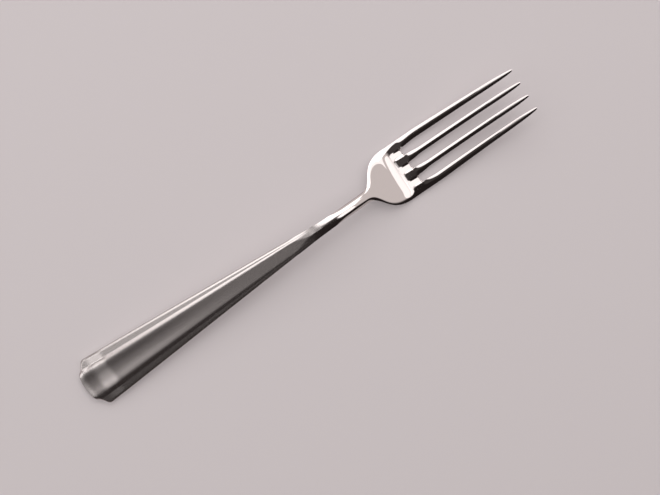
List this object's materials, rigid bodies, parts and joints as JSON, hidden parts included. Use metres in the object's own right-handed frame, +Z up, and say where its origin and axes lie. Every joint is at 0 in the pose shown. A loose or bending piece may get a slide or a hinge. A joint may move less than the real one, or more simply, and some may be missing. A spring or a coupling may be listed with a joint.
{
  "type": "dessert fork",
  "caption": "Steel dessert fork with a fan-shaped handle and raised panel, a slim arched neck, a broad palm and long tapering tines with rounded points, for spearing and lifting dessert.",
  "frame": {"origin": "middle of the fork's plan, on the table that the fork lies on", "axes": "+X along the fork from the tail of the handle to the tine tips, +Y across the head, +Z up, away from the table and out of the hollow of the head"},
  "size_m": [0.18, 0.02, 0.0105],
  "materials": {
    "satin_steel": "stainless steel with a fine satin brushed along the handle",
    "polished_steel": "stainless steel polished to a mirror"
  },
  "bodies": {
    "root": {"handle": "satin_steel", "neck": "polished_steel", "head": "polished_steel", "tine_1": "polished_steel", "tine_2": "polished_steel", "tine_3": "polished_steel", "tine_4": "polished_steel"}
  },
  "joints": []
}
